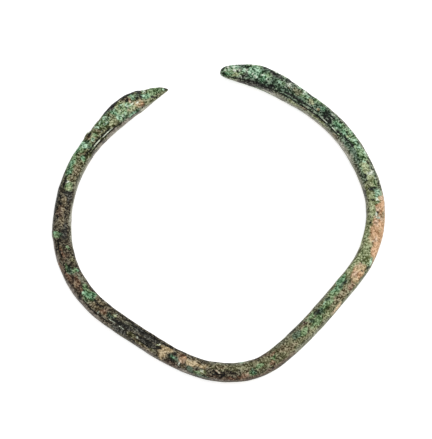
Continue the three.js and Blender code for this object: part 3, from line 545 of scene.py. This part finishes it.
# The underside and the lower walls, which the photograph doesn't show, have the same patina as
# the top in larger and quieter patches. Each kind is given with the seed of its patches.
HIDDEN_SIZE = 5.0
HIDDEN_KINDS = {"moss": 2, "olive_grey": 1, "russet": 5, "tan": 3, "bottle": 6}
HIDDEN_NEED = 0.12
HIDDEN_SHARPNESS = 3.0
HIDDEN_FROM = 0.05
HIDDEN_SLOPE = 2.2
hidden = np.clip((-normals[..., 2] - HIDDEN_FROM) * HIDDEN_SLOPE, 0.0, 1.0)
for kind, seed in HIDDEN_KINDS.items():
    above_need = lumps(surface, HIDDEN_SIZE, seed) - HIDDEN_NEED
    patches = np.clip(0.5 + above_need * HIDDEN_SHARPNESS, 0.0, 1.0)
    covers[kind] = np.maximum(covers[kind], patches * hidden)

# The relief of the skin in mm. Grain stands on the top faces and dies out down the walls, which
# handling and burial wore smoother. Crusts stand on it.
GRAIN_SIZE = 0.27
GRAIN_HEIGHT = 0.045
CRUMB_SIZE = 1.1
CRUMB_HEIGHT = 0.03
SWELL_SIZE = 4.5
SWELL_HEIGHT = 0.05
WALL_GRAIN = 0.45
TOP_SLOPE = 1.5
TOP_SPILL = 0.1
COVER_SHARPNESS = 2.0
CRUST_RISE = {"mint": 0.05, "malachite": 0.035, "cream": 0.03, "buff": 0.03, "black": -0.06}
RIDGE_RISE = 0.05
GROOVE_DEPTH = 0.09
CRACK_DEPTH = 0.06

# Pits that go into the skin: small ones scattered over it, and those that the photograph shows.
# Pits and nubs have a place along the bar, one round it, a radius, and a depth or height.
SCATTERED_PITS = 420
PIT_SEED = 41
PIT_FREE_ENDS = 1.0
PIT_ROUND = (-2.4, 2.8)
PIT_RADIUS = (0.14, 0.34)
PIT_DEPTH = (0.04, 0.12)
PITS = [
    (78.3, 0.25, 0.5, 0.22), (91.5, 1.0, 0.5, 0.2), (20.8, 1.1, 0.4, 0.15),
    (149.6, -0.3, 0.45, 0.2), (153.1, -0.8, 0.45, 0.18), (147.3, -0.45, 0.3, 0.15),
    (144.4, 0.2, 0.35, 0.15), (133.0, 0.3, 0.3, 0.15), (134.1, -0.4, 0.3, 0.15),
    (192.3, -0.25, 0.3, 0.15), (9.4, 1.0, 0.35, 0.12), (121.5, -2.1, 0.35, 0.12),
    (19.6, 2.4, 0.6, 0.12), (42.5, 2.7, 0.8, 0.1), (175.4, 1.7, 0.5, 0.12), (180.6, 2.2, 0.7, 0.12),
    (183.8, 2.3, 0.5, 0.1), (185.6, 2.5, 0.5, 0.1), (61.4, -0.3, 0.35, 0.12),
    (34.3, 0.0, 0.4, 0.08),
]
NUBS = [
    (176.8, 1.7, 0.55, 0.1), (178.1, 2.1, 0.4, 0.1), (182.5, 2.4, 0.5, 0.08),
    (184.6, 2.5, 0.35, 0.08), (5.2, 1.3, 0.6, 0.06), (43.8, 1.6, 0.9, 0.05),
    (158.1, 1.5, 0.8, 0.05), (63.4, 1.0, 0.25, 0.04),
]
DENT_TIGHTNESS = 1.6
DENT_REACH = 3

# Fine furrows along the dark worn strip on the left flank.
STRIATIONS = {
    "from": 64.0, "to": 79.0, "ease": 2.0, "round": -0.2, "half_width": 1.4,
    "spacing": 0.5, "depth": 0.05, "wander": 0.3, "wander_size": 6.0,
}

# How boldly the grain stands at places along the bar: most on the heads, least by the foot.
BOLDNESS = [
    (0, 1.2), (14, 1.3), (32, 0.8), (56, 0.85), (92, 0.95), (100, 0.72), (128, 0.75), (148, 0.75),
    (154, 1.1), (196, 1.55),
]


def dents(marks):
    """Round marks on the skin as the sum of smooth bells, each of its own radius and height."""
    height = np.zeros(place.shape)
    for mark_place, mark_round, radius, rise in marks:
        near = np.abs(row_places - mark_place) < DENT_REACH * radius
        distance = np.hypot(place[near] - mark_place, off_crest[near] - mark_round)
        height[near] += rise * np.exp(-(distance / radius) ** 2 * DENT_TIGHTNESS)
    return height


draw = random.Random(PIT_SEED)
scatter = [
    (
        draw.uniform(PIT_FREE_ENDS, bar_length - PIT_FREE_ENDS),
        draw.uniform(*PIT_ROUND),
        draw.uniform(*PIT_RADIUS),
        draw.uniform(*PIT_DEPTH),
    )
    for number in range(SCATTERED_PITS)
]
top_face = np.clip(normals[..., 2] * TOP_SLOPE + TOP_SPILL, 0.0, 1.0)
gloss = np.full(place.shape, KINDS["brown"].gloss)
grain_strength = np.full(place.shape, KINDS["brown"].grain)
for kind, cover in covers.items():
    weight = np.clip((cover - 0.5) * COVER_SHARPNESS + 0.5, 0.0, 1.0)
    gloss += (KINDS[kind].gloss - gloss) * weight
    grain_strength += (KINDS[kind].grain - grain_strength) * weight
grain_strength *= WALL_GRAIN + (1 - WALL_GRAIN) * top_face
grain_strength *= np.interp(place, *zip(*BOLDNESS))

grain = lumps(surface, GRAIN_SIZE, seed=11)
crumbs = lumps(surface, CRUMB_SIZE, seed=12)
relief = grain * GRAIN_HEIGHT * grain_strength + crumbs * CRUMB_HEIGHT * grain_strength
relief += lumps(surface, SWELL_SIZE, seed=13) * SWELL_HEIGHT
for kind, rise in CRUST_RISE.items():
    relief += covers[kind] * rise
relief -= dents(PITS) + dents(scatter) * grain_strength
relief += dents(NUBS) + ridge_and_highlight * RIDGE_RISE
relief -= (lower_groove + upper_groove) * GROOVE_DEPTH + cracked * CRACK_DEPTH
from_strip_end = np.minimum(place - STRIATIONS["from"], STRIATIONS["to"] - place)
along_strip = np.clip(from_strip_end / STRIATIONS["ease"], 0.0, 1.0)
in_strip = along_strip * spread((off_crest - STRIATIONS["round"]) / STRIATIONS["half_width"])
wander = lumps(surface, STRIATIONS["wander_size"], seed=14) * STRIATIONS["wander"]
furrows = np.cos((off_crest + wander) * math.tau / STRIATIONS["spacing"])
relief += furrows * STRIATIONS["depth"] * in_strip

# Stretches where one side of the bar is a shade fuller or leaner than its smooth form: from
# where to where, how far round the change is full, and by how much.
FULLER = [
    (2, 26, 1.6, 0.05), (23, 50, 1.6, 0.09), (67, 93, -1.3, -0.10), (80, 104, 1.6, -0.07),
    (104, 191, 1.6, 0.07), (104, 162, -1.6, 0.05), (3, 26, -1.8, 0.06), (0.2, 9.5, 1.1, 0.14),
]
FULLER_EASE = 4.0
fullness = np.zeros(place.shape)
for first, last, full_round, rise in FULLER:
    stretch = np.clip(np.minimum(place - first, last - place) / FULLER_EASE, 0.0, 1.0)
    fullness += rise * stretch * np.clip(off_crest / full_round, 0.0, 1.0)

# The skin keeps to the CAD bar's surface and stays inside its box, and nothing goes below the
# surface that it lies on.
SKIN_DEPTH = -0.03
HIGHEST_GRAIN = 0.07
TIP_FADE = 1.2
TIP_RELIEF = 0.15
fade = np.clip(np.minimum(place, bar_length - place) / TIP_FADE, TIP_RELIEF, 1.0)
raised = (np.minimum(relief, HIGHEST_GRAIN) - SKIN_DEPTH + fullness) * fade
carved = surface + normals * raised[..., None]
carved[..., 2] = np.maximum(carved[..., 2], 0.0)

low_corner, high_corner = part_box(PIECE)
carved = np.clip(carved, np.array(low_corner) / MM, np.array(high_corner) / MM)

row_count = len(row_places)
points = np.vstack([carved.reshape(-1, 3), left_end, right_end]) * MM
left_pole = row_count * AROUND
right_pole = left_pole + 1
faces = []
for row in range(row_count - 1):
    for side in range(AROUND):
        after = (side + 1) % AROUND
        faces.append(
            (
                row * AROUND + side,
                row * AROUND + after,
                (row + 1) * AROUND + after,
                (row + 1) * AROUND + side,
            )
        )
last_row = (row_count - 1) * AROUND
for side in range(AROUND):
    after = (side + 1) % AROUND
    faces.append((left_pole, after, side))
    faces.append((right_pole, last_row + side, last_row + after))

mesh = bpy.data.meshes.new("bracelet_skin")
mesh.from_pydata(points.tolist(), [], faces)
turned = bmesh.new()
turned.from_mesh(mesh)
bmesh.ops.recalc_face_normals(turned, faces=turned.faces)
turned.to_mesh(mesh)
turned.free()
mesh.shade_smooth()


def keep_on_skin(name, values):
    """Stores one number for each point of the skin, for the material to read."""
    ends = [values[0].mean(), values[-1].mean()]
    layer = mesh.attributes.new(name, "FLOAT", "POINT")
    layer.data.foreach_set("value", np.concatenate([values.ravel(), ends]).astype(np.float32))


# The material shades its grains by this share of the crumbs, over this much relief in mm.
CRUMB_SHADE = 0.3
SHADED_RELIEF = 4 * GRAIN_HEIGHT
shaded = (relief - crumbs * CRUMB_HEIGHT * CRUMB_SHADE) / SHADED_RELIEF
keep_on_skin("relief", np.clip(0.5 + shaded, 0.0, 1.0))
keep_on_skin("gloss", gloss)
keep_on_skin("grain", grain_strength)
for kind in STAINS:
    keep_on_skin(kind, covers[kind])

skin = bpy.data.objects.new("bracelet_skin", mesh)
bpy.context.scene.collection.objects.link(skin)

# The patina's finish: every kind's grains run from dark in the hollows to light on the high
# points, and the edge of each stain is broken up by the grain.
GRANULE = 0.28
FINE_GRAIN = 0.14
COARSE_GRAIN = 0.27
BLOTCH = 2.2
GRANULE_CONTRAST = 1.5
GRAIN_CONTRAST = 2.8
RELIEF_CONTRAST = 0.6
BLOTCH_CONTRAST = 0.9
GRANULE_RIM = 0.6
GRANULE_BEND = 0.3
GRANULE_SOFTNESS = 0.25
GRANULE_MIDDLE = 0.45
GRANULE_BUMP = 0.8
FINE_SHARE = 0.55
SPECKLE_ROUGHNESS = 0.6
EDGE_RAGGED = 0.8
EDGE_BLOTCH_SHARE = 0.65
EDGE_SHARPNESS = 1.9
DULL_ROUGHNESS = 0.72
GLOSSY_ROUGHNESS = 0.24
SHINE_GRAIN = 0.5
BUMP_DISTANCE = 0.00008
SPECULAR = 0.15
REFRACTION = 1.5
STOP_PLACES = (0.04, 0.5, 0.96)
DARKEST = 3
LIGHTEST = 252


def linear(colour, change):
    """A colour in sRGB from 0 to 255, made lighter or darker, as a shader's linear colour."""
    shares = [min(max(channel + change, DARKEST), LIGHTEST) / 255 for channel in colour]
    channels = [
        share / 12.92 if share < 0.04045 else ((share + 0.055) / 1.055) ** 2.4 for share in shares
    ]
    return channels + [1.0]


class Wire:
    """A socket in a material's nodes. Arithmetic on it adds Math nodes."""

    def __init__(self, tree, socket=None):
        self.tree = tree
        self.socket = socket

    def node(self, kind, settings, values, output=0):
        """Adds a node, makes its settings, fills its sockets, and gives one of its outputs."""
        node = self.tree.nodes.new(kind)
        for name, setting in settings.items():
            if name == "stops":
                ramp = node.color_ramp.elements
                for number, (stop_place, colour) in enumerate(setting):
                    stop = ramp[number] if number < len(ramp) else ramp.new(stop_place)
                    stop.position = stop_place
                    stop.color = colour
            else:
                setattr(node, name, setting)
        for name, value in values.items():
            if isinstance(value, Wire):
                self.tree.links.new(value.socket, node.inputs[name])
            else:
                node.inputs[name].default_value = value
        return Wire(self.tree, node.outputs[output] if node.outputs else None)

    def maths(self, operation, first, second, clamp=False):
        settings = {"operation": operation, "use_clamp": clamp}
        return self.node("ShaderNodeMath", settings, {0: first, 1: second})

    def other(self, output):
        """Another output of the node that this wire comes from."""
        return Wire(self.tree, self.socket.node.outputs[output])

    def __add__(self, other):
        return self.maths("ADD", self, other)

    def __radd__(self, other):
        return self.maths("ADD", other, self)

    def __sub__(self, other):
        return self.maths("SUBTRACT", self, other)

    def __rsub__(self, other):
        return self.maths("SUBTRACT", other, self)

    def __mul__(self, other):
        return self.maths("MULTIPLY", self, other)

    def __rmul__(self, other):
        return self.maths("MULTIPLY", other, self)

    def clamped(self):
        return self.maths("ADD", self, 0.0, clamp=True)

    def blend(self, first, second):
        """Mixes two colours by this wire's value."""
        values = {0: self, 6: first, 7: second}
        return self.node("ShaderNodeMix", {"data_type": "RGBA"}, values, output=2)


patina = bpy.data.materials.new("bronze_patina")
patina.use_nodes = True
patina.node_tree.nodes.clear()
wires = Wire(patina.node_tree)

object_place = wires.node("ShaderNodeTexCoord", {}, {}, output="Object")
in_mm = {0: object_place, "Scale": 1 / MM}
place_mm = wires.node("ShaderNodeVectorMath", {"operation": "SCALE"}, in_mm)


def speckle(size, detail):
    """Noise around a half with grains of the given size in mm."""
    values = {
        "Vector": place_mm,
        "Scale": 1 / size,
        "Detail": detail,
        "Roughness": SPECKLE_ROUGHNESS,
    }
    return wires.node("ShaderNodeTexNoise", {"noise_dimensions": "3D"}, values)


def kept(name):
    """What the mesh keeps under that name."""
    return wires.node("ShaderNodeAttribute", {"attribute_name": name}, {}, output="Fac")


fine = speckle(FINE_GRAIN, detail=2.0)
coarse = speckle(COARSE_GRAIN, detail=1.0)
blotch = speckle(BLOTCH, detail=2.0)
mixed = fine * FINE_SHARE + coarse * (1 - FINE_SHARE) - 0.5
bent_place = wires.node(
    "ShaderNodeVectorMath",
    {"operation": "MULTIPLY_ADD"},
    {0: fine.other("Color"), 1: [GRANULE_BEND] * 3, 2: place_mm},
)
granule = wires.node(
    "ShaderNodeTexVoronoi",
    {"feature": "SMOOTH_F1"},
    {"Vector": bent_place, "Scale": 1 / GRANULE, "Smoothness": GRANULE_SOFTNESS},
)
granule_shade = wires.node("ShaderNodeSeparateColor", {}, {"Color": granule.other("Color")})
level = mixed * GRAIN_CONTRAST + (kept("relief") - 0.5) * RELIEF_CONTRAST
level = level + (granule_shade - 0.5) * GRANULE_CONTRAST + (GRANULE_MIDDLE - granule) * GRANULE_RIM
shade = (level * kept("grain") + (blotch - 0.5) * BLOTCH_CONTRAST + 0.5).clamped()


def grains_of(kind):
    """One kind's colour over its grains."""
    made = KINDS[kind]
    changes = (-made.darker, 0, made.lighter)
    stops = [
        (stop_place, linear(made.colour, change))
        for stop_place, change in zip(STOP_PLACES, changes)
    ]
    return wires.node("ShaderNodeValToRGB", {"stops": stops}, {"Fac": shade})


edge_noise = coarse * (1 - EDGE_BLOTCH_SHARE) + blotch * EDGE_BLOTCH_SHARE
ragged = (edge_noise - 0.5) * EDGE_RAGGED
colour = grains_of("brown")
for kind in list(KINDS)[1:]:
    edge = (kept(kind) + ragged - 0.5) * EDGE_SHARPNESS + 0.5
    colour = (edge.clamped() * KINDS[kind].covering).blend(colour, grains_of(kind))

shine = kept("gloss") + mixed * SHINE_GRAIN
roughness = (DULL_ROUGHNESS - shine * (DULL_ROUGHNESS - GLOSSY_ROUGHNESS)).clamped()
bump_height = (mixed - granule * GRANULE_BUMP) * kept("grain")
bump_values = {"Strength": 1.0, "Distance": BUMP_DISTANCE, "Height": bump_height}
bump = wires.node("ShaderNodeBump", {}, bump_values)
surface_shader = wires.node(
    "ShaderNodeBsdfPrincipled",
    {},
    {
        "Base Color": colour,
        "Roughness": roughness,
        "Normal": bump,
        "IOR": REFRACTION,
        "Specular IOR Level": SPECULAR,
    },
)
wires.node("ShaderNodeOutputMaterial", {}, {"Surface": surface_shader})

mesh.materials.append(patina)
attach(skin, "root")
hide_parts(PIECE)


# The table
# A light table: a plain sheet of white plastic, lit faintly from below so that shadows on it stay
# soft, and larger than any view of the bracelet needs.
TABLE_SIZE = 3.0
TABLE_WHITE = 0.74
TABLE_GLOW = 0.68
TABLE_BELOW = 0.02
TABLE_ROUGHNESS = 0.9

bpy.ops.mesh.primitive_plane_add(size=TABLE_SIZE, location=(0, 0, -TABLE_BELOW * MM))
table = bpy.context.object
table.name = "table"
table_paint = bpy.data.materials.new("table_white")
table_paint.use_nodes = True
table_paint.node_tree.nodes.clear()
table_wires = Wire(table_paint.node_tree)
table_shader = table_wires.node(
    "ShaderNodeBsdfPrincipled",
    {},
    {
        "Base Color": [TABLE_WHITE] * 3 + [1.0],
        "Roughness": TABLE_ROUGHNESS,
        "Emission Color": [1.0] * 4,
        "Emission Strength": TABLE_GLOW,
    },
)
table_wires.node("ShaderNodeOutputMaterial", {}, {"Surface": table_shader})
table.data.materials.append(table_paint)


# The light
# A wide soft lamp overhead and behind, a smaller one from the right that throws the faint shadows
# to the left, and a pale room all round.
ROOM_STRENGTH = 0.30
LAMPS = {
    "overhead": {"at": (0.0, -0.02, 0.90), "size": 0.9, "watts": 4.1},
    "right": {"at": (0.52, 0.18, 0.55), "size": 0.2, "watts": 1.9},
}

room = bpy.data.worlds.new("pale_room")
room.use_nodes = True
room_background = room.node_tree.nodes["Background"]
room_background.inputs["Color"].default_value = (1.0, 1.0, 1.0, 1.0)
room_background.inputs["Strength"].default_value = ROOM_STRENGTH
bpy.context.scene.world = room

for name, facts in LAMPS.items():
    lamp_data = bpy.data.lights.new(name, "AREA")
    lamp_data.shape = "SQUARE"
    lamp_data.size = facts["size"]
    lamp_data.energy = facts["watts"]
    lamp = bpy.data.objects.new(name, lamp_data)
    lamp.location = facts["at"]
    lamp.rotation_euler = (-Vector(facts["at"])).to_track_quat("-Z", "Y").to_euler()
    bpy.context.scene.collection.objects.link(lamp)


# The camera
# It looks down from the front, as the photograph does, through a long lens.
ELEVATION = math.radians(71.0)
LENS = 200.0
SENSOR = 36.0
PHOTO_HEIGHT = 439
PIXELS_PER_MM = 4.639
FRAME_MIDDLE = (-0.58, -0.038, 2.21)

distance = LENS / SENSOR * PHOTO_HEIGHT / PIXELS_PER_MM * MM
backwards = Vector((0, -math.cos(ELEVATION), math.sin(ELEVATION)))
camera_data = bpy.data.cameras.new("camera")
camera_data.lens = LENS
camera_data.sensor_width = SENSOR
camera_data.clip_start = 0.01
camera = bpy.data.objects.new("camera", camera_data)
camera.location = Vector(FRAME_MIDDLE) * MM + backwards * distance
camera.rotation_euler = (-backwards).to_track_quat("-Z", "Y").to_euler()
bpy.context.scene.collection.objects.link(camera)
bpy.context.scene.camera = camera
bpy.context.scene.view_settings.view_transform = "Standard"
